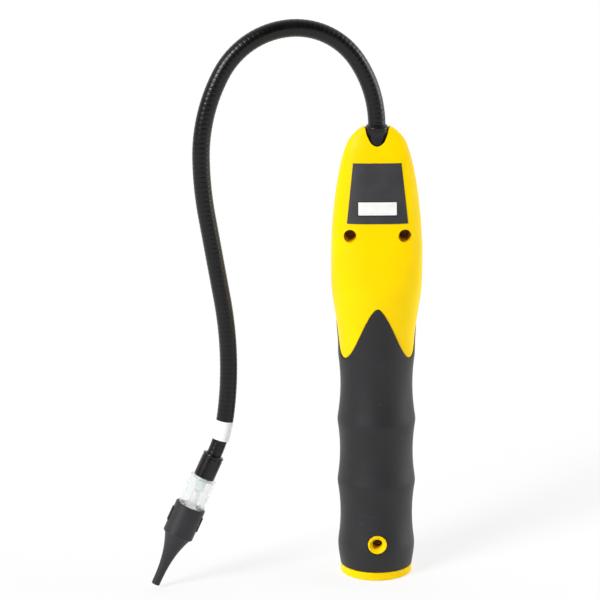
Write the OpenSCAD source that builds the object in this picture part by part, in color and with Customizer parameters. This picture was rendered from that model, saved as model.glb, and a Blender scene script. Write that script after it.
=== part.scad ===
// Handheld refrigerant leak detector standing on its base, with a gooseneck probe bent over to one side.
// The origin is the centre of the base, +Z is up, and -Y is the rear face that carries the plate.

/* [Handle and grip] */
// Outer radius of the housing under the grip sleeve
handle_r = 18.5; // [17.5:0.1:19]
// How far the sleeve's two sharp finger ridges stand out from the handle
grip_ridge_r = 3.2; // [2.5:0.1:5]
// How far the sleeve's soft bulge above the base stands out from the handle
grip_bulge_r = 2.8; // [2.3:0.1:4]
// Depth of the finger scallops between the ridges
grip_scallop = 1.55; // [0.5:0.05:1.8]
// Height of the soft bulge
grip_bulge_z = 18; // [14:0.5:22]
// Height of the lower finger ridge
grip_ridge_z = 53; // [46:0.5:58]
// Spacing between the two finger ridges
grip_pitch = 35; // [28:0.5:38]
// Height from the top rim where the sleeve flares out under its wavy edge
grip_flare_z = -125.6; // [-128:0.1:-119]
// Height from the top rim of the three tongues of the sleeve's wavy edge
grip_peak_z = -97.6; // [-103:0.1:-96]
// Height from the top rim of the three yellow lobes between the tongues
grip_lobe_z = -126.6; // [-132:0.1:-123]
// How far the sleeve stands proud of the housing along its edge
grip_proud = 0.5; // [0.3:0.1:1.2]
// Gap between the sleeve and the edge of the housing's recess
grip_edge_gap = 0.3; // [0.1:0.05:0.5]

/* [Head] */
// Height of the housing's top rim, round the gooseneck socket
body_h = 250.6; // [244:0.2:258]
// How far the housing below its swelling stands out from the handle
shoulder_r = 2.1; // [2:0.1:3.5]
// Height from the top rim where the housing starts to swell
swell_low_z = -121; // [-123:0.1:-115]
// Height from the top rim where the swelling is full
swell_high_z = -82.6; // [-86:0.1:-77]
// Greatest width of the head
head_w = 49.6; // [47:0.2:54]
// Height from the top rim of the greatest width
head_widest_z = -68.6; // [-72:0.1:-65]
// Greatest depth of the swelling, before the flat faces cut into it
head_d = 47.2; // [45:0.2:50]
// Height from the top rim of the crest where the flat faces start
crest_z = -95.6; // [-97:0.1:-92]
// Half of the depth between the flat faces at the crest
crest_half_d = 24; // [23:0.1:26]
// Softness of the bend between the swelling and the flat faces
crest_round = 3; // [1:0.5:5]
// Lean of the flat rear and front faces, in degrees
face_lean = 11.3; // [10:0.1:12]
// Squareness of the head's section, where 2 is an ellipse
head_square = 3; // [2.4:0.1:3.4]
// Height of the drawn-in top of the housing
rim_h = 4; // [2:0.1:5]
// How far the top rim is drawn in
rim_inset = 1.5; // [0.5:0.1:1.6]
// Wall of the housing
wall = 2.2; // [1.8:0.1:2.6]

/* [Base cap] */
// Height of the cap that shows below the sleeve
cap_h = 4.6; // [4:0.1:6]
// How far the cap stands out from the handle
cap_r = 1.3; // [1:0.1:2.1]
// Chamfer round the cap's lower edge
cap_chamfer = 0.8; // [0.4:0.1:1.5]
// Height of the cap's locating ring inside the housing
cap_ring_h = 8; // [5:0.5:10]
// Radius of the cap's post that takes its screw
post_r = 9; // [8:0.1:10]
// Height of the post's top
post_top_z = 26; // [25.5:0.1:27]

/* [Screws] */
// Radius of the screw shanks
screw_r = 1.5; // [1.2:0.05:1.7]
// Radius of the screw heads
screw_head_r = 2.6; // [2.2:0.1:2.8]
// Height of the screw heads
screw_head_h = 1.8; // [1.4:0.1:2.2]
// Radius of the two deep wells in the rear face
well_r = 3.45; // [3.1:0.05:3.8]
// Wall round the wells and round the front bosses
well_wall = 1.6; // [1.2:0.1:1.8]
// Distance of the wells from the middle of the rear face
well_x = 14.7; // [14.2:0.1:15.2]
// Height of the wells from the top rim
well_z = -57.6; // [-61:0.1:-55]
// Thickness of the floor that a screw head bears on
seat_t = 2.2; // [1.6:0.1:2.6]
// Height of the base cap's screw
cap_screw_z = 21; // [20:0.2:21.4]
// Outer radius of the yellow boss round the base cap's screw
boss_r = 5.25; // [4.8:0.05:5.6]
// Radius of the hole in that boss
boss_hole_r = 2.9; // [2.85:0.05:3.2]
// Radius of the hole's conical mouth
boss_mouth_r = 4.2; // [3.8:0.1:4.5]

/* [Rear plate] */
// Height of the plate's upper edge from the top rim
plate_top_z = -19.1; // [-24:0.1:-18]
// Height of the plate's lower edge from the top rim
plate_low_z = -50.1; // [-51:0.1:-46]
// Half of the plate's width at its upper edge
plate_top_x = 13.0; // [11:0.1:14]
// Half of the plate's width at its lower edge
plate_low_x = 16.3; // [14:0.1:17]
// Thickness of the plate
plate_t = 0.3; // [0.2:0.05:0.5]
// Height of the white field's lower edge from the top rim
field_low_z = -46.3; // [-47:0.1:-44]
// Height of the white field
field_h = 6.8; // [5:0.1:8]
// Half of the white field's width
field_x = 10.3; // [8:0.1:11]

/* [Battery] */
// Radius of a cell
cell_r = 13.1; // [12.5:0.1:13.3]
// Length of a cell with its terminal
cell_l = 50; // [48:0.1:50.5]
// Length of the battery spring when compressed
spring_l = 4.6; // [4:0.1:5.4]
// Radius of the spring's coil
spring_r = 6; // [4:0.1:7]
// Radius of the spring's wire
spring_wire_r = 0.5; // [0.4:0.05:0.6]
// Thickness of the bulkhead above the cells
bulkhead_t = 2.6; // [2:0.1:3.5]

/* [Front panel] */
// Height of the panel's reference point over the floor of the head's hollow
panel_z = 22.8; // [22.5:0.1:24]
// Radius of a key
key_r = 4; // [3:0.1:4.4]
// Distance between the keys
key_pitch = 11; // [10.5:0.1:12]
// How far a key stands out of the front face
key_proud = 1.2; // [0.9:0.1:2]
// Travel of a key
key_travel = 0.7; // [0.4:0.05:0.9]
// Gap round a key in its hole
key_gap = 0.3; // [0.2:0.05:0.5]
// Radius of an indicator lamp
led_r = 1.4; // [1:0.1:1.45]
// Distance between the indicator lamps
led_pitch = 3.6; // [3.5:0.05:3.7]
// Radius of the sounder
sounder_r = 6; // [4:0.1:6.5]
// Width of a sound slot
slot_w = 1.6; // [1:0.1:2]
// Width of the circuit board
board_w = 18.6; // [17.6:0.1:18.7]
// Thickness of the circuit board
board_t = 1.6; // [1:0.1:2]
// Depth of the circuit board below the front face
board_depth = 8.8; // [8.6:0.1:9.2]

/* [Gooseneck] */
// Radius over the gooseneck's ribs
neck_r = 4.7; // [4.2:0.05:4.9]
// Spacing of the ribs
rib_pitch = 2.6; // [2.4:0.05:4]
// Depth of the grooves between the ribs
rib_depth = 0.55; // [0.2:0.05:0.8]
// Angle between the gooseneck's plane and the head's width
neck_swing = 13; // [0:1:25]
// Radius of the gooseneck's bend as it leaves the head
neck_rise_r = 62.8; // [55:0.1:70]
// Radius of its bend before the crown
neck_crown_r = 41.2; // [38:0.1:48]
// Radius of its bend after the crown
neck_fall_r = 45.4; // [38:0.1:48]
// Radius of its wider bend beside the head
neck_side_r = 91; // [85:0.1:105]
// Radius of its last bend before the straight
neck_down_r = 190; // [170:1:210]
// Length of the straight
neck_straight_l = 45.9; // [38:0.1:52]
// Radius of the bend back after the straight
neck_back_r = 215; // [195:1:235]
// Radius of the bend back above the white band
neck_hang_r = 200; // [180:1:220]
// Radius of the bend back under the white band
neck_end_r = 74; // [66:0.5:82]
// Greatest bend at each place where the gooseneck flexes
bend_limit = 30; // [10:1:35]
// Radius of the collar in the head's socket
collar_r = 5.8; // [5.2:0.05:5.9]
// Radius of the collar's flange inside the head
flange_r = 7.6; // [7:0.1:8]
// Radius of the socket at its floor
socket_r = 6.7; // [6.2:0.05:7]
// Radius of the socket at the top rim
socket_top_r = 7; // [6.8:0.05:7.1]
// Depth of the socket's open mouth
socket_depth = 14; // [10:0.5:15]

/* [Probe tip] */
// Length of the white band on the gooseneck
band_l = 10.8; // [8:0.2:14]
// Radius of the ferrule
ferrule_r = 5.8; // [5.4:0.05:6.4]
// Length of the ferrule
ferrule_l = 13.5; // [12:0.1:18]
// Radius of the clear sensor holder
holder_r = 7.3; // [6.8:0.05:7.8]
// Wall of the clear sensor holder
holder_wall = 1; // [0.8:0.05:1.2]
// Length of the clear holder that shows above the nozzle
holder_shows = 17.4; // [16:0.1:22]
// Length of the holder inside the nozzle
holder_in = 6; // [5:0.1:8]
// Wall of the nozzle's cup
cup_wall = 0.9; // [0.7:0.05:1.4]
// Gap between the nozzle and the holder
cup_gap = 0.3; // [0.2:0.05:0.4]
// Length of the nozzle's cup
cup_l = 18.6; // [16:0.1:22]
// Length of the nozzle's tapering snout
snout_l = 29.4; // [22:0.1:29.8]
// Radius of the snout where it leaves the cup
snout_r = 6.4; // [5:0.1:7]
// Radius of the snout's tip
tip_r = 2.3; // [2:0.05:2.8]
// Radius of the passage through the snout
passage_r = 1.4; // [0.8:0.05:1.6]

/* [Hidden] */
$fn = 48;

shell_yellow = "gold";
rubber_black = "dimgray";
neck_black = "#222224";
metal = "silver";

// Gap left between pieces that seat on each other
seat_gap = 0.15;
// Longer than the whole object, for cuts that run right through
reach = 400;
// Steps round half of the housing, and round its hollow
half_steps = 22;
hollow_steps = 32;
// Steps round the sleeve's wavy edge
wave_steps = 90;
// Sides of the gooseneck's section
neck_sides = 12;

// Heights over the base of what the head carries, which moves with the top rim
flare_at = body_h + grip_flare_z;
peak_at = body_h + grip_peak_z;
lobe_at = body_h + grip_lobe_z;
swell_from = body_h + swell_low_z;
swell_to = body_h + swell_high_z;
widest_at = body_h + head_widest_z;
crest_at = body_h + crest_z;
wells_at = body_h + well_z;
plate_to = body_h + plate_top_z;
plate_from = body_h + plate_low_z;
field_from = body_h + field_low_z;

// Radii of what stands out from the handle
ridge_r = handle_r + grip_ridge_r;
bulge_r = handle_r + grip_bulge_r;
body_r = handle_r + shoulder_r;
foot_r = handle_r + cap_r;

bore_r = handle_r - wall;
strip_t = 0.5;
strip_w = 5;
cell_z = post_top_z + strip_t + spring_l;
cells_top_z = cell_z + 2 * cell_l;
contact_h = 2;
contact_t = 0.5;
contact_nub_r = 2;
bulkhead_z = cells_top_z + seat_gap + contact_h;
bulkhead_seat_z = bulkhead_z + bulkhead_t + seat_gap;
bulkhead_ledge = 1.8;
upper_bore_r = bore_r - bulkhead_ledge;
hollow_low_z = max(crest_at, peak_at, bulkhead_seat_z) + wall;
panel_at = hollow_low_z + panel_z;
collar_floor = 2;
neck_root_z = body_h - socket_depth + collar_floor;
flange_t = 2.6;
flange_drop = 7;
flange_z = body_h - socket_depth - flange_drop - flange_t;
hollow_top_z = flange_z - wall;
sleeve_low_z = cap_h + grip_edge_gap;

// The dome closes on its apex, and is cut off flat a little below it
dome_share = 0.98;
dome_fullness = 1.55;
dome_square = 3.4;
dome_apex_z = widest_at + (body_h - widest_at) / dome_share;

function smooth(t) = let (c = max(0, min(1, t))) c * c * (3 - 2 * c);
function soft_min(a, b, k) = (a + b - sqrt((a - b) * (a - b) + k * k)) / 2;
function signed_pow(v, e) = sign(v) * pow(abs(v), e);

// Half width, half depth and squareness of the housing at a height
function swell(full, z) =
    body_r + (full / 2 - body_r) * smooth((z - swell_from) / (swell_to - swell_from));
function dome_w(z) =
    head_w / 2 * pow(1 - pow((z - widest_at) / (dome_apex_z - widest_at), dome_fullness), 1 / dome_square);
function half_w(z) = z <= widest_at ? swell(head_w, z) : dome_w(z);
function face_d(z) = crest_half_d - tan(face_lean) * (z - crest_at);
function round_at(z) = crest_round * smooth((z - flare_at) / (crest_at - flare_at));
function half_d(z) = soft_min(swell(head_d, z), face_d(z), round_at(z));
function square_at(z) = 2 + (head_square - 2) * smooth((z - crest_at) / (widest_at - crest_at));

// One section of the housing between two angles, moved inwards by inset
function section(z, inset, from, to, steps) =
    let (w = half_w(z) - inset, d = half_d(z) - inset, e = 2 / square_at(z))
    [for (i = [0 : steps])
        let (t = from + (to - from) * i / steps)
        [w * signed_pow(cos(t), e), d * signed_pow(sin(t), e), z]];

// Depth of the rear surface beside the middle line
function rear_y(x, z) =
    -half_d(z) * pow(1 - pow(abs(x) / half_w(z), square_at(z)), 1 / square_at(z));

// How far the shell runs on under the sleeve
shell_lap = 4;
shell_low_z = lobe_at - shell_lap;
rim_share = (body_h - rim_h - widest_at) / (dome_apex_z - widest_at);
swell_rings = 12;
dome_rings = 13;
shell_heights = concat(
    [for (i = [0 : swell_rings - 1]) shell_low_z + (widest_at - shell_low_z) * i / swell_rings],
    [for (i = [0 : dome_rings])
        widest_at + (dome_apex_z - widest_at) * sin(i * asin(rim_share) / dome_rings)]);

// Height of the sleeve's wavy edge at an angle, with tongues at the rear and a third of a turn either way
wave_power = 0.7;
function wave(t) =
    peak_at - (peak_at - lobe_at) * pow((1 - cos(3 * (t - 270))) / 2, wave_power);

// A solid skinned over rings of points; closed joins the last ring to the first, flip turns it inside out
module skin(rings, closed = false, flip = false) {
    count = len(rings);
    n = len(rings[0]);
    bands = closed ? count : count - 1;
    sides = [for (i = [0 : bands - 1], k = [0 : n - 1])
        let (a = i * n + k, b = i * n + (k + 1) % n)
        let (d = ((i + 1) % count) * n + k, c = ((i + 1) % count) * n + (k + 1) % n)
        each flip ? [[a, c, d], [a, b, c]] : [[a, d, c], [a, c, b]]];
    caps = closed ? [] : [[for (k = [0 : n - 1]) k], [for (k = [n - 1 : -1 : 0]) (count - 1) * n + k]];
    polyhedron(points = [for (r = rings) each r], faces = concat(caps, sides), convexity = 8);
}

// The ring-shaped space between a level and the wavy edge
module wave_ring(level, lift) {
    r0 = handle_r - shell_lap;
    r1 = head_w;
    skin([for (i = [0 : wave_steps - 1])
        let (t = i * 360 / wave_steps, edge = wave(t) + lift)
        [for (p = [[r0, level], [r0, edge], [r1, edge], [r1, level]]) [p[0] * cos(t), p[0] * sin(t), p[1]]]],
        closed = true, flip = level > lobe_at);
}

// Half of the outer shell: side is -1 for the rear and 1 for the front
module half_shell(side) {
    from = side < 0 ? 180 : 0;
    rim = section(body_h, rim_inset, from, from + 180, half_steps);
    skin(concat([for (z = shell_heights) section(z, 0, from, from + 180, half_steps)], [rim]));
}

module half_tube(side) {
    rotate([0, 0, side < 0 ? 180 : 0])
        rotate_extrude(angle = 180)
            translate([0, cap_h])
                square([handle_r, hollow_low_z + wall - cap_h]);
}

// The hollow of the head, which the screw bosses stand in
hollow_rings = 9;
module head_hollow() {
    heights = [for (i = [0 : hollow_rings]) hollow_low_z + (hollow_top_z - hollow_low_z) * i / hollow_rings];
    last = 360 - 360 / hollow_steps;
    difference() {
        skin([for (z = heights) section(z, wall, 0, last, hollow_steps - 1)]);
        for (x = [-well_x, well_x])
            translate([x, 0, wells_at])
                rotate([90, 0, 0])
                    cylinder(r = well_r + well_wall, h = reach, center = true);
    }
}

// Everything that both halves have bored out of them
module handle_bores() {
    translate([0, 0, cap_h - 1])
        cylinder(r = bore_r, h = bulkhead_seat_z - cap_h + 1);
    translate([0, 0, bulkhead_seat_z - 1])
        cylinder(r = upper_bore_r, h = hollow_low_z - bulkhead_seat_z + 2);
}

module socket_bores() {
    translate([0, 0, hollow_top_z - 1])
        cylinder(r = collar_r + seat_gap, h = reach);
    translate([0, 0, flange_z - seat_gap])
        cylinder(r = flange_r + seat_gap, h = flange_t + 2 * seat_gap);
    translate([0, 0, body_h - socket_depth])
        cylinder(r1 = socket_r, r2 = 2 * socket_top_r - socket_r, h = 2 * socket_depth);
}

// Ribs that centre the cells in the handle
rib_w = 2;
module cell_ribs(side) {
    low = cell_z;
    r0 = cell_r + 2 * seat_gap;
    for (turn = [-60, 0, 60])
        rotate([0, 0, side * 90 + turn])
            translate([r0, -rib_w / 2, low])
                cube([bore_r + wall / 2 - r0, rib_w, cells_top_z - low]);
}

module along_rear(x, z) {
    translate([x, 0, z])
        rotate([90, 0, 0])
            children();
}

boss_sunk = 0.7;
boss_out = bulge_r - boss_sunk;
boss_in = post_r + 2 * seat_gap;
boss_mouth_h = 1.4;

module rear_housing() {
    color(shell_yellow)
    difference() {
        union() {
            difference() {
                union() {
                    difference() {
                        half_shell(-1);
                        wave_ring(0, 0);
                    }
                    half_tube(-1);
                }
                head_hollow();
                handle_bores();
            }
            cell_ribs(-1);
            along_rear(0, cap_screw_z)
                translate([0, 0, boss_in])
                    cylinder(r = boss_r, h = boss_out - boss_in);
        }
        socket_bores();
        for (x = [-well_x, well_x]) {
            along_rear(x, wells_at)
                translate([0, 0, seat_t])
                    cylinder(r = well_r, h = reach);
            along_rear(x, wells_at)
                cylinder(r = screw_r + seat_gap, h = reach, center = true);
        }
        along_rear(0, cap_screw_z) {
            translate([0, 0, boss_in + seat_t])
                cylinder(r = boss_hole_r, h = reach);
            cylinder(r = screw_r + seat_gap, h = reach);
            translate([0, 0, boss_out - boss_mouth_h])
                cylinder(r1 = boss_hole_r, r2 = boss_mouth_r + 0.01, h = boss_mouth_h + 0.01);
        }
    }
}

// Places children on the front face: local +Z points out, up runs up the face
module on_panel(x, up, depth) {
    translate([0, face_d(panel_at), panel_at])
        rotate([face_lean - 90, 0, 0])
            translate([x, -up, -depth])
                children();
}

// Heights on the face of the keys, the lamps and the sounder, and the space between those groups
lowest_key_up = 1;
panel_space = 4;
key_ups = [for (i = [2 : -1 : 0]) lowest_key_up + i * key_pitch];
lamp_up = key_ups[0] + key_r + panel_space;
lamp_xs = [for (i = [-2 : 2]) i * led_pitch];
sounder_up = key_ups[2] - key_r - sounder_r - panel_space;
board_margin = 1;
board_low = sounder_up - sounder_r - board_margin;
board_high = lamp_up + led_r + 4 * board_margin;
stay_r = 1.6;
stay_x = board_w / 2 - 2 * board_margin;
stay_ups = [board_low + 2 * board_margin, board_high - 2 * board_margin];
stays = [for (x = [-stay_x, stay_x], up = stay_ups) [x, up]];
slot_l = 9;
slot_pitch = 2 * slot_w;

module panel_holes() {
    for (up = key_ups)
        on_panel(0, up, reach / 20)
            cylinder(r = key_r + key_gap, h = reach);
    for (x = lamp_xs)
        on_panel(x, lamp_up, reach / 20)
            cylinder(r = led_r + seat_gap, h = reach);
    for (i = [-1 : 1])
        on_panel(-slot_l / 2, sounder_up + i * slot_pitch + slot_w / 2, board_depth - sounder_h + 0.5)
            cube([slot_l, slot_w, reach]);
}

module front_housing() {
    color(shell_yellow)
    difference() {
        union() {
            difference() {
                union() {
                    difference() {
                        half_shell(1);
                        wave_ring(0, 0);
                    }
                    half_tube(1);
                }
                difference() {
                    head_hollow();
                    for (p = stays)
                        on_panel(p[0], p[1], board_depth - seat_gap)
                            cylinder(r = stay_r, h = reach);
                }
                handle_bores();
            }
            cell_ribs(1);
        }
        socket_bores();
        panel_holes();
        for (x = [-well_x, well_x])
            along_rear(x, wells_at)
                cylinder(r = screw_r + seat_gap, h = 2 * (case_screw_l - seat_t + 1), center = true);
    }
}

// Outline points of one hollow between two ridges
scallop_steps = 8;
function scallop(z0, r0, z1, r1) = [for (i = [0 : scallop_steps - 1])
    let (t = i / scallop_steps)
    [r0 + (r1 - r0) * t - grip_scallop * 4 * t * (1 - t), z0 + (z1 - z0) * t]];
flare_r = body_r + grip_proud;
upper_ridge_z = grip_ridge_z + grip_pitch;
foot_steps = 4;
sleeve_outline = concat(
    [for (i = [0 : foot_steps - 1])
        let (t = i / foot_steps)
        [foot_r + (bulge_r - foot_r) * sin(90 * t), sleeve_low_z + (grip_bulge_z - sleeve_low_z) * t]],
    scallop(grip_bulge_z, bulge_r, grip_ridge_z, ridge_r),
    scallop(grip_ridge_z, ridge_r, upper_ridge_z, ridge_r),
    scallop(upper_ridge_z, ridge_r, flare_at, flare_r),
    [[flare_r, flare_at]]);

// Above the flare the sleeve follows the swelling of the housing, and its foot is sunk in the sleeve below
tongue_rings = 8;
tongue_steps = 48;
tongue_lap = 0.05;
tongue_sunk = 1.2;
module sleeve_tongues() {
    last = 360 - 360 / tongue_steps;
    foot = section(flare_at - tongue_sunk, tongue_sunk, 0, last, tongue_steps - 1);
    skin(concat([foot], [for (i = [0 : tongue_rings])
        let (z = flare_at + (peak_at + 1 - flare_at) * i / tongue_rings)
        section(z, tongue_lap - grip_proud, 0, last, tongue_steps - 1)]));
}

module grip_sleeve() {
    color(rubber_black)
    difference() {
        union() {
            rotate_extrude()
                polygon(concat([[0, flare_at], [0, sleeve_low_z]], sleeve_outline));
            sleeve_tongues();
        }
        cylinder(r = handle_r + seat_gap, h = reach);
        wave_ring(body_h, -grip_edge_gap);
        along_rear(0, cap_screw_z)
            cylinder(r = boss_r + grip_edge_gap, h = reach);
    }
}

module base_cap() {
    ring_r = bore_r - seat_gap;
    color(shell_yellow)
    difference() {
        rotate_extrude()
            polygon([[0, 0], [foot_r - cap_chamfer, 0], [foot_r, cap_chamfer], [foot_r, cap_h],
                     [ring_r, cap_h], [ring_r, cap_h + cap_ring_h], [ring_r - wall, cap_h + cap_ring_h],
                     [ring_r - wall, cap_h], [post_r, cap_h], [post_r, post_top_z], [0, post_top_z]]);
        along_rear(0, cap_screw_z)
            translate([0, 0, boss_in + seat_t - cap_screw_l - 1])
                cylinder(r = screw_r + seat_gap, h = reach);
    }
}

// A pan-head screw with its bearing face at z = 0 and its shank downwards
module pan_screw(shank) {
    dome = screw_head_h * 0.35;
    tip = 0.3;
    cross_w = 0.7;
    cross_d = 0.9;
    cross_r = screw_head_r * 0.6;
    difference() {
        rotate_extrude()
            polygon([[0, -shank], [screw_r - tip, -shank], [screw_r, -shank + 2 * tip], [screw_r, 0],
                     [screw_head_r, 0], [screw_head_r, screw_head_h - dome],
                     [screw_head_r * 0.8, screw_head_h], [0, screw_head_h]]);
        for (turn = [0, 90])
            rotate([0, 0, turn])
                translate([-cross_r, -cross_w / 2, screw_head_h - cross_d])
                    cube([2 * cross_r, cross_w, 2 * cross_d]);
    }
}

case_screw_l = 10;
cap_screw_l = 8;

module case_screws() {
    color(metal)
    for (x = [-well_x, well_x])
        along_rear(x, wells_at)
            translate([0, 0, seat_t])
                pan_screw(case_screw_l);
}

module cap_screw() {
    color(metal)
    along_rear(0, cap_screw_z)
        translate([0, 0, boss_in + seat_t])
            pan_screw(cap_screw_l);
}

// A thin sheet cut from a skin over the rear face
sheet_rows = 6;
sheet_lap = 2;
sheet_gap = 0.03;
field_t = 0.25;
module plate_skin(out, lap) {
    low = plate_from - lap;
    rise = plate_to - plate_from + 2 * lap;
    skin([for (i = [0 : sheet_rows]) section(low + rise * i / sheet_rows, -out, 180, 360, half_steps)]);
}

module rear_plate() {
    color("#4b4b4e")
    difference() {
        intersection() {
            plate_skin(sheet_gap + plate_t, sheet_lap);
            rotate([90, 0, 0])
                linear_extrude(height = reach)
                    polygon([[-plate_low_x, plate_from], [plate_low_x, plate_from],
                             [plate_top_x, plate_to], [-plate_top_x, plate_to]]);
        }
        plate_skin(sheet_gap, 2 * sheet_lap);
    }
}

// A blank field on the plate, bent in flat strips and sheared to the lean of the rear face
field_cuts = [-1, -0.75, -0.5, 0.5, 0.75, 1];
field_gap = 0.1;
module plate_field() {
    under = plate_t + field_gap;
    slope = tan(face_lean);
    z = field_from + field_h / 2;
    xs = [for (c = field_cuts) c * field_x];
    outer = [for (x = xs) [x, rear_y(x, z) - under - field_t]];
    inner = [for (i = [len(xs) - 1 : -1 : 0]) [xs[i], rear_y(xs[i], z) - under]];
    color("white")
    translate([0, 0, field_from])
        multmatrix([[1, 0, 0, 0], [0, 1, slope, -slope * field_h / 2], [0, 0, 1, 0], [0, 0, 0, 1]])
            linear_extrude(height = field_h)
                polygon(concat(outer, inner));
}

module neck_collar() {
    low = hollow_top_z + 0.5;
    rim = 0.7;
    color(neck_black)
    rotate_extrude()
        polygon([[lead_r + seat_gap, low], [collar_r, low], [collar_r, flange_z], [flange_r, flange_z],
                 [flange_r, flange_z + flange_t], [collar_r, flange_z + flange_t],
                 [collar_r, body_h - rim], [collar_r - rim, body_h], [neck_r + seat_gap, body_h],
                 [neck_r + seat_gap, neck_root_z], [lead_r + seat_gap, neck_root_z]]);
}

// Legs of the gooseneck from its root in the collar: [radius, turn], or [length, 0] where it is straight.
// A positive turn leads over and down towards the tip's side.
neck_legs = [[body_h - neck_root_z, 0], [neck_rise_r, 35], [neck_crown_r, 55.5], [neck_fall_r, 60.7],
             [neck_side_r, 29], [neck_down_r, 9.4], [neck_straight_l, 0], [neck_back_r, -10.7],
             [neck_hang_r, -7.1], [neck_end_r, -17.1]];
function leg_l(g) = g[1] == 0 ? g[0] : g[0] * abs(g[1]) * PI / 180;
function sum(v, i = 0) = i == len(v) ? 0 : v[i] + sum(v, i + 1);
neck_l = sum([for (g = neck_legs) leg_l(g)]);

// Place and heading after a distance d along one leg, and along the whole gooseneck
function along_leg(p, h, g, d) =
    g[1] == 0 ? [p + d * [sin(h), cos(h)], h]
    : let (s = sign(g[1]), h2 = h + s * d / g[0] * 180 / PI)
      [p + s * g[0] * [cos(h) - cos(h2), sin(h2) - sin(h)], h2];
function along_neck(d, i = 0, p = [0, neck_root_z], h = 0) =
    i == len(neck_legs) - 1 || d <= leg_l(neck_legs[i]) ? along_leg(p, h, neck_legs[i], d)
    : let (e = along_leg(p, h, neck_legs[i], leg_l(neck_legs[i])))
      along_neck(d - leg_l(neck_legs[i]), i + 1, e[0], e[1]);
function neck_ring(d, r) =
    let (a = along_neck(d), p = a[0], h = a[1])
    [for (k = [0 : neck_sides - 1])
        let (t = k * 360 / neck_sides)
        [p[0] + r * cos(t) * cos(h), r * sin(t), p[1] - r * cos(t) * sin(h)]];

module neck_frame() {
    rotate([0, 0, 180 + neck_swing])
        children();
}

// Distances along the gooseneck of the six places where it flexes
flex_count = 6;
first_flex = 38;
flex_pitch = (neck_l - first_flex) / flex_count;
flexes = [for (i = [0 : flex_count - 1]) first_flex + i * flex_pitch];

// Each end at a flex is a blunt cone, so that the sections clear each other at the greatest bend,
// and a ball on one section sits in a cup in the other
core_r = 1.2;
core_end = 0.45;
rim_end = core_end + (neck_r - core_r) * tan(bend_limit / 2) + seat_gap;
ball_r = neck_r - 1.2;
ball_gap = 0.25;

// Rings of one section between two flexes
function rib_rings(from, to) =
    let (count = floor((to - from) / rib_pitch), pitch = (to - from) / count)
    [for (i = [0 : count - 1]) each [neck_ring(from + i * pitch, neck_r),
        neck_ring(from + (i + 0.5) * pitch, neck_r - rib_depth)]];
function cone_start(d) = [neck_ring(d + core_end, core_r)];
function cone_end(d) = [neck_ring(d - rim_end, neck_r), neck_ring(d - core_end, core_r)];

module ball_at(d, r) {
    p = along_neck(d)[0];
    translate([p[0], 0, p[1]])
        sphere(r = r);
}

// The bare end below the white band, and how far it goes into the ferrule
tail_r = neck_r - 0.6;
spigot_r = tail_r - 0.4;
tail_l = 8.2;
tail_in = 3.5;
ferrule_start = 1;
band_start = neck_l - tail_l - band_l;

module gooseneck_1() {
    color(neck_black)
    neck_frame()
        difference() {
            skin(concat([neck_ring(seat_gap, neck_r - rib_depth)],
                        rib_rings(body_h - neck_root_z - 1, flexes[0] - rim_end), cone_end(flexes[0])));
            ball_at(flexes[0], ball_r + ball_gap);
        }
}

module neck_section(i) {
    color(neck_black)
    neck_frame()
        difference() {
            union() {
                skin(concat(cone_start(flexes[i - 1]),
                            rib_rings(flexes[i - 1] + rim_end, flexes[i] - rim_end), cone_end(flexes[i])));
                ball_at(flexes[i - 1], ball_r);
            }
            ball_at(flexes[i], ball_r + ball_gap);
        }
}

module gooseneck_2() {
    neck_section(1);
}

module gooseneck_3() {
    neck_section(2);
}

module gooseneck_4() {
    neck_section(3);
}

module gooseneck_5() {
    neck_section(4);
}

module gooseneck_6() {
    neck_section(5);
}

module gooseneck_7() {
    bare = neck_r - rib_depth;
    color(neck_black)
    neck_frame() {
        skin(concat(cone_start(flexes[5]), rib_rings(flexes[5] + rim_end, band_start - 0.5),
                    [neck_ring(band_start, bare)],
                    [for (i = [1 : 5]) neck_ring(band_start + band_l * i / 5, bare)],
                    [neck_ring(band_start + band_l + 0.3, tail_r), neck_ring(neck_l, tail_r)]));
        ball_at(flexes[5], ball_r);
        on_probe(-seat_gap)
            cylinder(r = spigot_r, h = ferrule_start + tail_in + seat_gap);
    }
}

band_steps = 6;
module neck_band() {
    inner = neck_r - rib_depth + seat_gap;
    outer = neck_r + 0.1;
    color("white")
    neck_frame()
        difference() {
            skin([for (i = [0 : band_steps]) neck_ring(band_start + band_l * i / band_steps, outer)]);
            skin([for (i = [-1 : band_steps + 1]) neck_ring(band_start + band_l * i / band_steps, inner)]);
        }
}

// Places children on the straight probe: local +Z runs towards the tip
probe_end = along_neck(neck_l);
module on_probe(d) {
    translate([probe_end[0][0], 0, probe_end[0][1]])
        rotate([0, probe_end[1], 0])
            translate([0, 0, d])
                children();
}

module turned(outline) {
    neck_frame()
        on_probe(0)
            rotate_extrude()
                polygon(outline);
}

// Distances along the probe of its pieces
ferrule_end = ferrule_start + ferrule_l;
stem_r = 2.9;
stem_in = 3;
mouth_d = ferrule_end + holder_shows;
holder_end = mouth_d + holder_in;
base_sunk = 1.5;
base_d = mouth_d + base_sunk;
base_t = 3.5;
bulb_rise = 8;
bulb_d = ferrule_end + bulb_rise;

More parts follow.
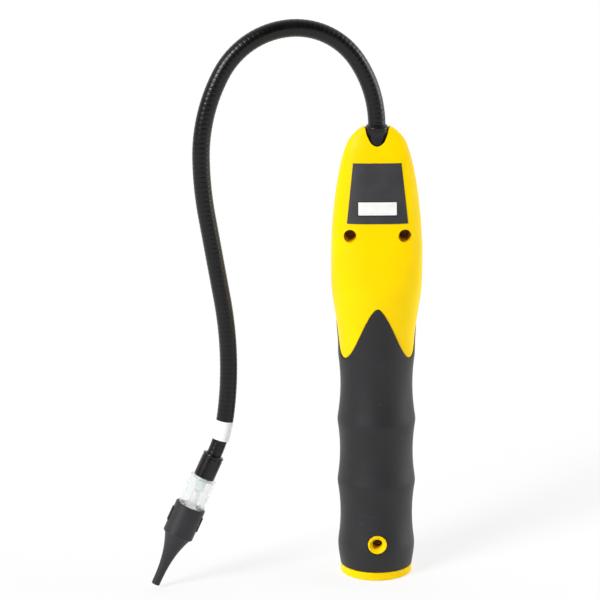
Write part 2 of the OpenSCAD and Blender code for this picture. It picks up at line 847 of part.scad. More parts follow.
module probe_ferrule() {
    r = ferrule_r;
    rim = 0.6;
    edge = 0.4;
    groove = 0.35;
    groove_l = 1;
    groove_d = ferrule_start + 1.4;
    slope = 0.2;
    color(neck_black)
        turned([[spigot_r + seat_gap, ferrule_start], [r - rim, ferrule_start], [r, ferrule_start + rim],
                [r, groove_d], [r - groove, groove_d + slope], [r - groove, groove_d + groove_l - slope],
                [r, groove_d + groove_l], [r, ferrule_end - edge], [r - edge, ferrule_end],
                [stem_r + seat_gap, ferrule_end], [stem_r + seat_gap, ferrule_end - stem_in - seat_gap],
                [0, ferrule_end - stem_in - seat_gap], [0, ferrule_start + tail_in + seat_gap],
                [spigot_r + seat_gap, ferrule_start + tail_in + seat_gap]]);
}

module sensor_holder() {
    r = holder_r;
    low = ferrule_end + seat_gap;
    edge = 0.8;
    inner = r - holder_wall;
    color("azure", 0.4)
        turned([[stem_r + seat_gap, low], [r - edge, low], [r, low + edge], [r, holder_end],
                [inner, holder_end], [inner, low + 1.5], [stem_r + seat_gap, low + 1.5]]);
}

// A threaded stub, drawn as its rings
thread_pitch = 1;
module sensor_stem() {
    low = ferrule_end - stem_in;
    high = bulb_d - seat_gap;
    count = floor((high - ferrule_end - 3) / thread_pitch);
    color("lightsteelblue")
        turned(concat([[0, low], [stem_r, low]],
                      [for (i = [0 : count - 1]) each [[stem_r, ferrule_end + 3 + i * thread_pitch],
                          [stem_r - 0.4, ferrule_end + 3 + (i + 0.5) * thread_pitch]]],
                      [[stem_r - 0.4, high], [0, high]]));
}

// A small domed glass bead on a flared skirt
bulb_r = 2.3;
skirt_r = 3.6;
module sensor_bulb() {
    high = base_d - seat_gap;
    color("whitesmoke")
        turned(concat([[0, bulb_d]],
                      [for (i = [1 : 6]) [bulb_r * sin(15 * i), bulb_d + bulb_r * (1 - cos(15 * i))]],
                      [[bulb_r, high - 4], [skirt_r, high - 1], [skirt_r, high], [0, high]]));
}

module sensor_base() {
    r = holder_r - holder_wall - seat_gap;
    color("gainsboro")
        turned([[0, base_d], [r, base_d], [r, base_d + base_t], [0, base_d + base_t]]);
}

pin_r = 0.5;
pin_l = 4;
pin_circle = 4.6;
module sensor_pins() {
    color(metal)
    neck_frame()
        for (turn = [30 : 120 : 270])
            on_probe(base_d - pin_l)
                rotate([0, 0, turn])
                    translate([pin_circle, 0, 0])
                        cylinder(r = pin_r, h = pin_l);
}

snout_steps = 10;
snout_power = 2;
// Three short ribs on either side of the cup, to pull it by
tab_l = 8;
tab_h = 0.6;
tab_w = 1;
tab_turn = 11;
tab_drop = 2.5;
cup_floor = 2;
module nozzle() {
    inner = holder_r + cup_gap;
    r = inner + cup_wall;
    cup_end = mouth_d + cup_l;
    shoulder = 0.8;
    color("#333336")
    neck_frame()
        difference() {
            union() {
                on_probe(0)
                    rotate_extrude()
                        polygon(concat(
                            [[0, mouth_d], [r - 0.2, mouth_d], [r, mouth_d + 0.3], [r, cup_end - shoulder],
                             [r - shoulder, cup_end]],
                            [for (i = [0 : snout_steps])
                                let (t = i / snout_steps)
                                [tip_r + (snout_r - tip_r) * pow(1 - t, snout_power), cup_end + snout_l * t]],
                            [[0, cup_end + snout_l]]));
                for (side = [0, 180], shift = [-1, 0, 1])
                    on_probe(mouth_d + tab_drop)
                        rotate([0, 0, side + tab_turn * shift])
                            translate([r - tab_h, -tab_w / 2, 0])
                                cube([2 * tab_h, tab_w, tab_l]);
            }
            on_probe(mouth_d - 1)
                cylinder(r = inner, h = cup_l - cup_floor + 1);
            on_probe(mouth_d)
                cylinder(r = passage_r, h = reach);
        }
}

module circuit_board() {
    color("darkgreen")
        on_panel(-board_w / 2, board_high, board_depth + board_t)
            cube([board_w, board_high - board_low, board_t]);
}

// A key with an inner flange that holds it in, and a plunger over its switch
key_flange = 1.2;
key_flange_t = 0.9;
key_crown = 0.2;
plunger_r = 2;
dome_h = 3.4;
module key_at(up) {
    z = panel_at + up * cos(face_lean);
    drop = (face_d(z) - half_d(z)) * cos(face_lean);
    top = wall + key_gap;
    plunger = board_depth - drop - dome_h - key_travel - 2 * seat_gap;
    edge = 0.5;
    color("#2b2b2e")
        on_panel(0, up, drop)
            rotate_extrude()
                polygon([[0, -plunger], [plunger_r, -plunger], [plunger_r, -top - key_flange_t],
                         [key_r + key_flange, -top - key_flange_t], [key_r + key_flange, -top],
                         [key_r, -top], [key_r, key_proud - edge], [key_r - edge, key_proud],
                         [0, key_proud + key_crown]]);
}

module key_power() {
    key_at(key_ups[0]);
}

module key_up() {
    key_at(key_ups[1]);
}

module key_down() {
    key_at(key_ups[2]);
}

switch_r = 3;
module dome_switches() {
    color(metal)
    for (up = key_ups)
        on_panel(0, up, board_depth)
            rotate_extrude()
                polygon([[0, 0], [switch_r, 0], [switch_r, dome_h - 1], [switch_r - 1, dome_h],
                         [0, dome_h]]);
}

lamp_rim = 0.2;
lamp_sunk = 0.4;
module indicator_lamps() {
    color("tomato")
    for (x = lamp_xs)
        on_panel(x, lamp_up, board_depth)
            rotate_extrude()
                polygon(concat([[0, 0], [led_r + lamp_rim, 0], [led_r + lamp_rim, 1], [led_r, 1]],
                               [for (i = [0 : 5])
                                   [led_r * cos(18 * i), board_depth - lamp_sunk + led_r * sin(18 * i)]]));
}

sounder_h = 4;
module sounder() {
    color("black")
        on_panel(0, sounder_up, board_depth)
            difference() {
                cylinder(r = sounder_r, h = sounder_h);
                translate([0, 0, sounder_h - 0.8])
                    cylinder(r = 1, h = 2);
            }
}

module cell(z) {
    nub = 1.5;
    body = cell_l - nub;
    crimp = 0.5;
    color("steelblue")
    translate([0, 0, z])
        rotate_extrude()
            polygon([[0, 0], [cell_r - crimp, 0], [cell_r, crimp], [cell_r, body - crimp],
                     [cell_r - crimp, body], [3.4, body], [3.4, cell_l], [0, cell_l]]);
}

module cell_lower() {
    cell(cell_z);
}

module cell_upper() {
    cell(cell_z + cell_l);
}

// A compressed coil between the strip's disc and the lower cell
coil_turns = 3;
coil_steps = 14;
module battery_spring() {
    low = post_top_z + strip_t + spring_wire_r + seat_gap;
    rise = spring_l - 2 * spring_wire_r - 2 * seat_gap;
    last = coil_turns * coil_steps;
    color(metal)
        skin([for (i = [0 : last])
            let (t = i * 360 / coil_steps)
            [for (k = [0 : 5])
                let (r = spring_r + spring_wire_r * cos(60 * k), z = low + rise * i / last)
                [r * cos(t), r * sin(t), z - spring_wire_r * sin(60 * k)]]]);
}

// The spring's disc, with a strip that runs up the wall between two ribs
strip_turn = -30;
module return_strip() {
    y = bore_r - strip_t - seat_gap;
    color("goldenrod")
    rotate([0, 0, strip_turn]) {
        translate([0, 0, post_top_z])
            cylinder(r = spring_r + 2, h = strip_t);
        translate([-strip_w / 2, 0, post_top_z])
            cube([strip_w, y, strip_t]);
        translate([-strip_w / 2, y - strip_t, post_top_z])
            cube([strip_w, strip_t, bulkhead_z - seat_gap - post_top_z]);
    }
}

module battery_bulkhead() {
    color("ivory")
        translate([0, 0, bulkhead_z])
            cylinder(r = bore_r - seat_gap, h = bulkhead_t);
}

module battery_contact() {
    color("goldenrod")
        translate([0, 0, cells_top_z + seat_gap])
            rotate_extrude()
                polygon([[0, 0], [contact_nub_r, 0], [contact_nub_r + contact_t, contact_h - contact_t],
                         [spring_r, contact_h - contact_t], [spring_r, contact_h], [0, contact_h]]);
}

// Two leads that come up through the bulkhead to the back of the circuit board
lead_r = 1.6;
wire_r = 0.8;
wire_x = 4;
wire_rise = 6;
module battery_leads() {
    low = bulkhead_z + bulkhead_t;
    high = hollow_low_z + wire_rise;
    y = face_d(high) - (board_depth + board_t) / cos(face_lean) - wire_r - 2 * seat_gap;
    color("firebrick")
    for (x = [-wire_x, wire_x])
        translate([x, y, low])
            cylinder(r = wire_r, h = high - low);
}

// A lead from the gooseneck's root that turns off to the upper edge of the circuit board
lead_lap = 0.8;
lead_z = panel_at + board_high * cos(face_lean) - board_depth * sin(face_lean) + lead_r + seat_gap;
module sensor_lead() {
    board_y = face_d(panel_at) - board_high * sin(face_lean) - (board_depth + board_t) * cos(face_lean);
    color(neck_black) {
        translate([0, 0, lead_z])
            cylinder(r = lead_r, h = neck_root_z - lead_z);
        translate([0, 0, lead_z])
            sphere(r = lead_r);
        translate([0, 0, lead_z])
            rotate([-90, 0, 0])
                cylinder(r = lead_r, h = board_y + lead_lap);
    }
}

rear_housing();
front_housing();
grip_sleeve();
base_cap();
case_screws();
cap_screw();
rear_plate();
plate_field();
neck_collar();
gooseneck_1();
gooseneck_2();
gooseneck_3();
gooseneck_4();
gooseneck_5();
gooseneck_6();
gooseneck_7();
neck_band();
probe_ferrule();
sensor_holder();
sensor_stem();
sensor_bulb();
sensor_base();
sensor_pins();
nozzle();
circuit_board();
key_power();
key_up();
key_down();
dome_switches();
indicator_lamps();
sounder();
cell_lower();
cell_upper();
battery_spring();
return_strip();
battery_bulkhead();
battery_contact();
battery_leads();
sensor_lead();
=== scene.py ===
import math

import bmesh
import bpy
import numpy as np
from mathutils import Matrix, Vector


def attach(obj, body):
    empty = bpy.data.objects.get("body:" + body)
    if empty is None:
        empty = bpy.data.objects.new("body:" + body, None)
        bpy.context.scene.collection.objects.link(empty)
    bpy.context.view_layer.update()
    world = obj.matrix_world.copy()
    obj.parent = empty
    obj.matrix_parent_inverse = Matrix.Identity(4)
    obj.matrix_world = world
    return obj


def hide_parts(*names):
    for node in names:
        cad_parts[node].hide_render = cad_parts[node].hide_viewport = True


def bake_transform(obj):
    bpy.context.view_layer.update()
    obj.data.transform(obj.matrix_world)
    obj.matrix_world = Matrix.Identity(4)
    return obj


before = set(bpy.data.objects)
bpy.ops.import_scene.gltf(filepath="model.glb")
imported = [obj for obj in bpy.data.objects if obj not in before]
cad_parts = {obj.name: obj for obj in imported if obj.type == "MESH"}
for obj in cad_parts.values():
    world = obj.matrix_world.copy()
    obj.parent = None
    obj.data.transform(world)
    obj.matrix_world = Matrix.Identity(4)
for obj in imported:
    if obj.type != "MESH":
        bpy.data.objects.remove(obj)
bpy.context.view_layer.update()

# Rear housing half.
# Moulded ABS in a strong yellow, satin from the tool. Two long screws in deep wells pull it to the front half
# along a fine parting line, and its top carries half of the gooseneck's socket.
MM = 0.001
# Heights are from the floor, and the head's sizes are whole widths.
top_z = 250.6
handle_r, body_r = 18.5, 20.6
swell_z, swell_rise = 129.6, 38.4
head_w, head_d = 49.6, 47.2
dome_z, dome_share, dome_bend, dome_power = 182, 0.98, 1.55, 3.4
face_y, face_z, face_lean = 24, 155, math.radians(11.3)
blend_y, blend_z, blend_rise = 3, 125, 30
square_z, square_rise = 155, 27


def linear(code):
    """Linear colour of an sRGB hex code."""
    parts = [int(code[i : i + 2], 16) / 255 for i in (0, 2, 4)]
    return [c / 12.92 if c <= 0.04045 else ((c + 0.055) / 1.055) ** 2.4 for c in parts] + [1.0]


def add(tree, kind, sockets=None, **settings):
    """Adds a node with its settings; sockets are values, or other nodes' outputs to link."""
    node = tree.nodes.new(kind)
    for name, value in settings.items():
        setattr(node, name, value)
    for key, value in (sockets or {}).items():
        if isinstance(value, bpy.types.NodeSocket):
            tree.links.new(value, node.inputs[key])
        else:
            node.inputs[key].default_value = value
    return node


def finish_of(name, code, roughness, drift, sockets=None, grain=None):
    """A material with one shader. drift is the other colour that it goes to in soft clouds, their size and
    how far the roughness goes with them; grain is the size and height of a fine moulded texture."""
    material = bpy.data.materials.new(name)
    material.use_nodes = True
    tree = material.node_tree
    shader = tree.nodes["Principled BSDF"]
    values = {"Base Color": linear(code), "Roughness": roughness, **(sockets or {})}
    for key, value in values.items():
        shader.inputs[key].default_value = value
    other, size, change = drift
    place = add(tree, "ShaderNodeTexCoord").outputs["Object"]
    cloud = add(tree, "ShaderNodeTexNoise", {"Vector": place, "Scale": 1 / (size * MM), "Detail": 3.0})
    share = add(tree, "ShaderNodeMapRange",
                {"Value": cloud.outputs["Fac"], "From Min": 0.35, "From Max": 0.65}).outputs["Result"]
    # Sockets 6 and 7 of the Mix node are its two colours, and output 2 is the mixed one.
    tint = add(tree, "ShaderNodeMix", {0: share, 6: linear(code), 7: linear(other)}, data_type="RGBA")
    dull = add(tree, "ShaderNodeMapRange",
               {"Value": share, "To Min": roughness - change, "To Max": roughness + change})
    tree.links.new(tint.outputs[2], shader.inputs["Base Color"])
    tree.links.new(dull.outputs["Result"], shader.inputs["Roughness"])
    if grain:
        grain_size, grain_height = grain
        noise = add(tree, "ShaderNodeTexNoise",
                    {"Vector": place, "Scale": 1 / (grain_size * MM), "Detail": 2.0})
        bump = add(tree, "ShaderNodeBump",
                   {"Height": noise.outputs["Fac"], "Strength": 1.0, "Distance": grain_height * MM})
        tree.links.new(bump.outputs["Normal"], shader.inputs["Normal"])
    return material


def piece(name, points, faces, material, outward=True):
    """A mesh object from points in millimetres."""
    mesh = bpy.data.meshes.new(name)
    mesh.from_pydata([tuple(p) for p in np.asarray(points, float) * MM], [], faces)
    work = bmesh.new()
    work.from_mesh(mesh)
    bmesh.ops.remove_doubles(work, verts=work.verts, dist=1e-7)
    bmesh.ops.dissolve_degenerate(work, edges=work.edges, dist=1e-8)
    if outward:
        bmesh.ops.recalc_face_normals(work, faces=work.faces)
    work.to_mesh(mesh)
    work.free()
    mesh.materials.append(material)
    made = bpy.data.objects.new(name, mesh)
    bpy.context.scene.collection.objects.link(made)
    return made


def evaluated_mesh(made):
    """The mesh of an object with its modifiers applied."""
    view = bpy.context.evaluated_depsgraph_get()
    return bpy.data.meshes.new_from_object(made.evaluated_get(view), preserve_all_data_layers=True,
                                           depsgraph=view)


def plain(made):
    """Applies an object's modifiers to its mesh."""
    mesh = evaluated_mesh(made)
    made.modifiers.clear()
    made.data = mesh
    return made


def shade(made, angle=35):
    """Smooth shading, with sharp edges where faces meet at more than an angle, weighted by face area."""
    mesh = made.data
    mesh.polygons.foreach_set("use_smooth", [True] * len(mesh.polygons))
    mesh.set_sharp_from_angle(angle=math.radians(angle))
    weigh = made.modifiers.new("weigh", "WEIGHTED_NORMAL")
    weigh.keep_sharp = True
    return plain(made)


def lattice(loops, count, closed):
    """Faces between neighbouring loops of points; the last loop joins the first where closed."""
    faces = []
    for i in range(loops if closed else loops - 1):
        j = (i + 1) % loops
        for k in range(count):
            n = (k + 1) % count
            faces.append((i * count + k, i * count + n, j * count + n, j * count + k))
    return faces


def turned(name, outline, material, origin=(0, 0, 0), axis=(0, 0, 1), sides=96):
    """A lathed solid: outline is a closed loop of (radius, height) along an axis."""
    turn = Vector(axis).to_track_quat("Z", "Y").to_matrix()
    points = []
    for r, h in outline:
        for k in range(sides):
            a = 2 * math.pi * k / sides
            points.append(turn @ Vector((r * math.cos(a), r * math.sin(a), h)) + Vector(origin))
    on_axis = [r < 1e-6 for r, h in outline]
    faces = [face for face in lattice(len(outline), sides, True)
             if not (on_axis[face[0] // sides] and on_axis[face[2] // sides])]
    return piece(name, points, faces, material)


def cut(made, cutters):
    """Takes cutters out of a solid and removes them."""
    for cutter in cutters:
        way = made.modifiers.new("cut", "BOOLEAN")
        way.operation = "DIFFERENCE"
        way.solver = "EXACT"
        way.object = cutter
    plain(made)
    for cutter in cutters:
        bpy.data.objects.remove(cutter)
    return made


def slopes_of(field, places):
    """Slopes of a field along the three axes."""
    step = 0.02
    return np.stack([field(places + d) - field(places - d) for d in np.eye(3) * step], axis=1)


def polish(made, field, angle=35):
    """Shades a solid with the true normals of the surface where field is zero."""
    near, same_way = 0.02, 0.85
    mesh = shade(made, angle).data
    corners = np.empty(len(mesh.loops) * 3)
    mesh.corner_normals.foreach_get("vector", corners)
    corners = corners.reshape(-1, 3)
    places = np.empty(len(mesh.vertices) * 3)
    mesh.vertices.foreach_get("co", places)
    places = places.reshape(-1, 3) / MM
    slopes = slopes_of(field, places)
    slopes /= np.linalg.norm(slopes, axis=1)[:, None] + 1e-12
    close = np.abs(field(places)) < near
    owner = np.empty(len(mesh.loops), int)
    mesh.loops.foreach_get("vertex_index", owner)
    flat = np.empty(len(mesh.polygons) * 3)
    mesh.polygons.foreach_get("normal", flat)
    counts = np.empty(len(mesh.polygons), int)
    mesh.polygons.foreach_get("loop_total", counts)
    flat = np.repeat(flat.reshape(-1, 3), counts, axis=0)
    use = close[owner] & (np.sum(flat * slopes[owner], axis=1) > same_way)
    corners[use] = slopes[owner][use]
    mesh.normals_split_custom_set(corners)
    return made


def smooth(t):
    """A soft step from 0 to 1."""
    t = np.clip(t, 0, 1)
    return t * t * (3 - 2 * t)


def swell(full, z):
    """Half of a size that swells from the handle to its full one."""
    return body_r + (full / 2 - body_r) * smooth((z - swell_z) / swell_rise)


def drawn_in(z, low, inset, bend):
    """How far the housing is drawn in at a height, by a soft curve from a low height to the top rim."""
    return inset * np.clip((z - low) / (top_z - low), 0, 1) ** bend


def dome(z):
    """Half of the width, up the swelling and over the round of the head."""
    apex = (top_z - dome_z) / dome_share
    up = np.clip(z - dome_z, 0, None) / apex
    full = head_w / 2 * np.clip(1 - up**dome_bend, 1e-6, 1) ** (1 / dome_power)
    return np.where(z <= dome_z, swell(head_w, z), full)


def between_faces(z):
    """Half of the depth, where the swelling gives way softly to the two sloping faces."""
    side = swell(head_d, z)
    face = face_y - math.tan(face_lean) * (z - face_z)
    soft = blend_y * smooth((z - blend_z) / blend_rise)
    return (side + face - np.sqrt((side - face) ** 2 + soft * soft)) / 2


def half_width(z):
    return dome(z) - drawn_in(z, low=242.6, inset=1.9, bend=1.3)


def half_depth(z):
    return between_faces(z) - drawn_in(z, low=239.0, inset=1.85, bend=1.1)


def squareness(z):
    """Power of the outline at a height: round at the handle, squarer at the head."""
    return 2 + smooth((z - square_z) / square_rise)


def skin_r(turn, z):
    """Distance of the housing's skin from its axis, at an angle and a height."""
    n = squareness(z)
    across = (np.abs(np.cos(turn)) / half_width(z)) ** n + (np.abs(np.sin(turn)) / half_depth(z)) ** n
    return across ** (-1 / n)


def rear_y(x, z):
    """Place of the rear face, across and up the housing."""
    n = squareness(z)
    return -half_depth(z) * (1 - (np.abs(x) / half_width(z)) ** n) ** (1 / n)


def skin_field(p):
    """Distance of points from the housing's skin, measured from its axis."""
    return np.hypot(p[:, 0], p[:, 1]) - skin_r(np.arctan2(p[:, 1], p[:, 0]), p[:, 2])


def wave(turn):
    """Height of the wavy edge between the housing and the grip: steep flanks, soft crests and valleys."""
    tongues, crest, depth, bend, soft = 3, 154.2, 29.2, 0.7, 0.026
    swing = (1 - np.cos(tongues * (turn + math.pi / 2))) / 2
    return crest - depth * ((swing + soft) ** bend - soft**bend) / ((1 + soft) ** bend - soft**bend)


def quarter(r, steps=6):
    """A rounded edge over a quarter turn: how far it has come along and how deep it still lies."""
    return [(r * (1 - math.cos(a)), r * (1 - math.sin(a))) for a in np.linspace(0, math.pi / 2, steps)]


def spun(loop, angle):
    """A loop of (radius, height) stood at an angle round the axis."""
    return [(r * math.cos(angle), r * math.sin(angle), z) for r, z in loop]


def housing_half(name, first, material):
    """Half of the housing, from an angle round by half a turn: a closed loop of points at every angle."""
    lip, rim, wall, bore_r = 0.45, 0.3, 2.2, 16.3
    tube_low, bore_top, hollow_low, hollow_top = 118.0, 155.2, 157.2, 224.8
    # The parting line: how far along the skin from the joint, and how far sunk there.
    parting = [(0.0, 0.3), (0.05, 0.12), (0.15, 0.03), (0.3, 0.0)]
    parting_r, start, slices = 24, 0.0125, 132
    angles = [(first + along / parting_r, sunk) for along, sunk in parting]
    angles += [(first + start + (math.pi - 2 * start) * k / slices, 0.0) for k in range(1, slices)]
    angles += [(first + math.pi - along / parting_r, sunk) for along, sunk in reversed(parting)]
    # Rows crowd towards the top rim, where the skin curves most.
    rows, crowding, hollow_rows = 91, 1.5, 12
    shares = 1 - (1 - np.linspace(0, 1, rows)[1:-1]) ** crowding
    points, count = [], 0
    for angle, sunk in angles:
        edge = float(wave(angle))
        loop = [(handle_r, tube_low), (handle_r, edge)]
        for rise, deep in quarter(lip):
            loop.append((float(skin_r(angle, edge + rise)) - deep - sunk, edge + rise))
        for z in edge + lip + (top_z - edge - lip - rim) * shares:
            loop.append((float(skin_r(angle, z)) - sunk, z))
        for rise, deep in reversed(quarter(rim)):
            loop.append((float(skin_r(angle, top_z - rise)) - deep - sunk, top_z - rise))
        loop += [(0.0, top_z), (0.0, hollow_top)]
        for z in np.linspace(hollow_top, hollow_low, hollow_rows):
            loop.append((float(skin_r(angle, z)) - wall, z))
        loop += [(bore_r, bore_top), (bore_r, tube_low)]
        count = len(loop)
        points += spun(loop, angle)
    faces = lattice(len(angles), count, False)
    last = (len(angles) - 1) * count
    faces += [tuple(range(count)), tuple(range(last, last + count))]
    return piece(name, points, faces, material)


def socket_cutters():
    """The gooseneck's socket and the bore under it that takes the collar."""
    socket = [(0, 236.6), (6.4, 236.6), (6.5, 238.8), (7.0, 242.5), (7.1, 246.0), (7.0, top_z), (7.0, 264.6),
              (0, 264.6)]
    bore = [(0, 220), (6.0, 220), (6.0, 238), (0, 238)]
    return [turned("socket", socket, None), turned("collar_bore", bore, None)]


def mouth(place, normal, r, rim, sides=64):
    """A cone that breaks the edge of a hole."""
    outline = [(0, -rim), (r, -rim), (r + rim, 0), (r + 3 * rim, 2 * rim), (0, 2 * rim)]
    return turned("mouth", outline, None, place, normal, sides)


# Satin yellow: a soft broad gleam, a shade deeper in faint clouds, with the fine grain of an etched tool.
yellow_abs = finish_of("yellow_abs_satin", "FFDA00", 0.4, ("FFD500", 22, 0.04), {"Specular IOR Level": 0.08},
                       grain=(0.5, 0.004))

rearward = (0, -1, 0)
well_r, tube_r, well_seat, well_z = 3.45, 5.05, 2.2, 193.0
well_reach, well_rim, well_sides = 40, 0.25, 64
wells = (-14.7, 14.7)
rear = housing_half("housing_rear", math.pi, yellow_abs)
cutters = socket_cutters()
for x in wells:
    place = np.array([[x, float(rear_y(x, well_z)), well_z]])
    slope = Vector(slopes_of(skin_field, place)[0]).normalized()
    outline = [(0, well_seat), (well_r, well_seat), (well_r, well_reach), (0, well_reach)]
    cutters.append(turned("well", outline, None, (x, 0, well_z), rearward, well_sides))
    cutters.append(mouth(Vector(place[0]), slope, well_r, well_rim))
polish(cut(rear, cutters), skin_field)
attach(rear, "detector")
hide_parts("rear_housing")

# The wells run in through their own tubes inside the shell, down to the seats of the screws. Each tube ends
# just under the skin.
tube_in, under_skin, screw_hole_r, seat_low = well_r + 0.01, 0.9, 1.65, 0.1
for i, x in enumerate(wells):
    points = []
    for k in range(well_sides):
        turn = 2 * math.pi * k / well_sides
        for r, seated in ((tube_in, True), (tube_r, True), (tube_r, False), (tube_in, False)):
            px = x + r * math.cos(turn)
            pz = well_z + r * math.sin(turn)
            points.append((px, -well_seat if seated else float(rear_y(px, pz)) + under_skin, pz))
    tube = piece(f"well_tube_{i + 1}", points, lattice(well_sides, 4, True), yellow_abs)
    outline = [(screw_hole_r, seat_low), (tube_r, seat_low), (tube_r, well_seat), (screw_hole_r, well_seat)]
    seat = turned(f"well_seat_{i + 1}", outline, yellow_abs, (x, 0, well_z), rearward, well_sides)
    for part in (shade(tube), shade(seat)):
        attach(part, "detector")

# The boss of the cap's screw: a ring of the rear half that comes out through the grip.
boss_z, boss_sides = 21, 72
outline = [(screw_hole_r, 9.3), (5.25, 9.3), (5.25, 20.1), (5.1, 20.45), (4.75, 20.6), (4.35, 20.6),
           (4.2, 20.5), (2.9, 19.2), (2.9, 11.5), (screw_hole_r, 11.5)]
boss = turned("cap_screw_boss", outline, yellow_abs, (0, 0, boss_z), rearward, boss_sides)
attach(shade(boss, 40), "detector")

# Front housing half.
# The same ABS moulding mirrored, screwed to the rear half. Its flat face has holes for three keys and five
# lamps, and three sound slots.
panel_z = 180
panel = Vector((0, face_y - math.tan(face_lean) * (panel_z - face_z), panel_z))
panel_out = Vector((0, math.cos(face_lean), math.sin(face_lean)))
panel_up = Vector((0, -math.sin(face_lean), math.cos(face_lean)))


def on_panel(x, up, out=0.0):
    """A place on the front panel."""
    return panel + Vector((x, 0, 0)) + up * panel_up + out * panel_out


def panel_hole(name, r, x, up, sides):
    """A cutter for a round hole in the front panel."""
    below, above = -8, 5
    outline = [(0, below), (r, below), (r, above), (0, above)]
    return turned(name, outline, None, on_panel(x, up), panel_out, sides)


def block(name, centre, axes, sizes, material=None):
    """A box along three axes."""
    points = [centre + sum((s * d * w / 2 for s, d, w in zip(signs, axes, sizes)), Vector((0, 0, 0)))
              for signs in [(a, b, c) for a in (-1, 1) for b in (-1, 1) for c in (-1, 1)]]
    faces = [(0, 1, 3, 2), (4, 6, 7, 5), (0, 4, 5, 1), (2, 3, 7, 6), (0, 2, 6, 4), (1, 5, 7, 3)]
    return piece(name, points, faces, material)


key_hole_r, key_ups = 4.3, (23, 12, 1)
lamp_hole_r, lamp_up, lamp_pitch = 1.55, 31, 3.6
slot_sizes, sounder_up, slot_pitch, slot_out = (9, 1.6, 10), -13, 3.2, 1.0
front = housing_half("housing_front", 0.0, yellow_abs)
cutters = socket_cutters()
for up in key_ups:
    cutters.append(panel_hole("key_hole", key_hole_r, 0, up, 64))
for k in range(-2, 3):
    cutters.append(panel_hole("lamp_hole", lamp_hole_r, lamp_pitch * k, lamp_up, 32))
for k in (-1, 0, 1):
    middle = on_panel(0, sounder_up + slot_pitch * k, slot_out)
    cutters.append(block("slot", middle, (Vector((1, 0, 0)), panel_up, panel_out), slot_sizes))
polish(cut(front, cutters), skin_field)
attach(front, "detector")
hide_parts("front_housing")

# Grip sleeve.
# Soft black rubber moulded over the handle, dull and slightly dusty, with finger scallops between soft ridges
# and three tongues that run up into the housing's wavy recess.
sleeve_low, foot_r, bulge_r, bulge_z = 4.9, 19.8, 21.3, 18
ridge_r, ridge_z, upper_ridge_z = 21.7, 53, 88
flare_r, flare_z, scallop = 21.1, 125, 1.55
tongue_low, tongue_z, proud = 125.5, 127, 0.5
edge_gap, sleeve_in, sleeve_lip = 0.3, 18.65, 0.55


def sleeve_outline():
    """Radius of the grip below its tongues, over a fine row of heights, with the ridges rounded off."""
    z = np.arange(0, 140, 0.1)
    rise = np.clip((z - sleeve_low) / (bulge_z - sleeve_low), 0, 1)
    r = foot_r + (bulge_r - foot_r) * np.sin(rise * math.pi / 2)
    scallops = ((bulge_z, bulge_r, ridge_z, ridge_r), (ridge_z, ridge_r, upper_ridge_z, ridge_r),
                (upper_ridge_z, ridge_r, flare_z, flare_r))
    for z0, r0, z1, r1 in scallops:
        t = (z - z0) / (z1 - z0)
        r = np.where((t >= 0) & (t <= 1), r0 + (r1 - r0) * t - scallop * 4 * t * (1 - t), r)
    r = np.where(z > flare_z, flare_r, r)
    reach, spread = 40, 13.0
    soft = np.exp(-0.5 * (np.arange(-reach, reach + 1) / spread) ** 2)
    blurred = np.convolve(np.pad(r, reach, "edge"), soft / soft.sum(), "valid")
    return z, blurred


outline_z, outline_r = sleeve_outline()


def sleeve_r(turn, z):
    """Distance of the grip's skin from its axis: scalloped below, a little proud of the housing above."""
    above = skin_r(turn, np.maximum(z, tongue_low)) + proud
    return np.where(z <= tongue_z, np.interp(z, outline_z, outline_r), above)


def sleeve_field(p):
    """Distance of points from the grip's skin, measured from its axis."""
    return np.hypot(p[:, 0], p[:, 1]) - sleeve_r(np.arctan2(p[:, 1], p[:, 0]), p[:, 2])


# Dull black rubber: pale towards its edges, cloudy where hands have rubbed it, with a few specks of lint.
rubber = finish_of("grip_rubber_dull", "18181B", 0.55, ("1E1E21", 16, 0.05),
                   {"Specular IOR Level": 0.45, "Sheen Weight": 0.08, "Sheen Roughness": 0.4},
                   grain=(0.35, 0.012))
lint_size, lint_share = 2.4, 0.2
tree = rubber.node_tree
rubber_colour = tree.nodes["Principled BSDF"].inputs["Base Color"]
place = add(tree, "ShaderNodeTexCoord").outputs["Object"]
lint = add(tree, "ShaderNodeTexNoise", {"Vector": place, "Scale": 1 / (lint_size * MM), "Detail": 0.0})
speck = add(tree, "ShaderNodeMapRange",
            {"Value": lint.outputs["Fac"], "From Min": 0.8, "From Max": 0.88, "To Max": lint_share})
dusty = add(tree, "ShaderNodeMix",
            {0: speck.outputs["Result"], 6: rubber_colour.links[0].from_socket, 7: linear("5A5A60")},
            data_type="RGBA")
tree.links.new(dusty.outputs[2], rubber_colour)

points, count, sides, rows = [], 0, 288, 112
for k in range(sides):
    angle = 2 * math.pi * k / sides
    edge = float(wave(angle)) - edge_gap
    loop = [(sleeve_in, sleeve_low)]
    for rise, deep in quarter(sleeve_lip):
        loop.append((float(sleeve_r(angle, sleeve_low + rise)) - deep, sleeve_low + rise))
    for z in np.linspace(sleeve_low + sleeve_lip, edge - sleeve_lip, rows)[1:-1]:
        loop.append((float(sleeve_r(angle, z)), z))
    for rise, deep in reversed(quarter(sleeve_lip)):
        loop.append((float(sleeve_r(angle, edge - rise)) - deep, edge - rise))
    loop.append((sleeve_in, edge))
    count = len(loop)
    points += spun(loop, angle)
sleeve = piece("grip_sleeve_skin", points, lattice(sides, count, True), rubber)
boss_hole_r, hole_low, skin_y, rim_r, rim_edge = 5.55, 10, -21.28, 5.5, 0.35
outline = [(0, hole_low), (boss_hole_r, hole_low), (boss_hole_r, well_reach), (0, well_reach)]
hole = turned("boss_hole", outline, None, (0, 0, boss_z), rearward, boss_sides)
hole_rim = mouth((0, skin_y, boss_z), rearward, rim_r, rim_edge, boss_sides)
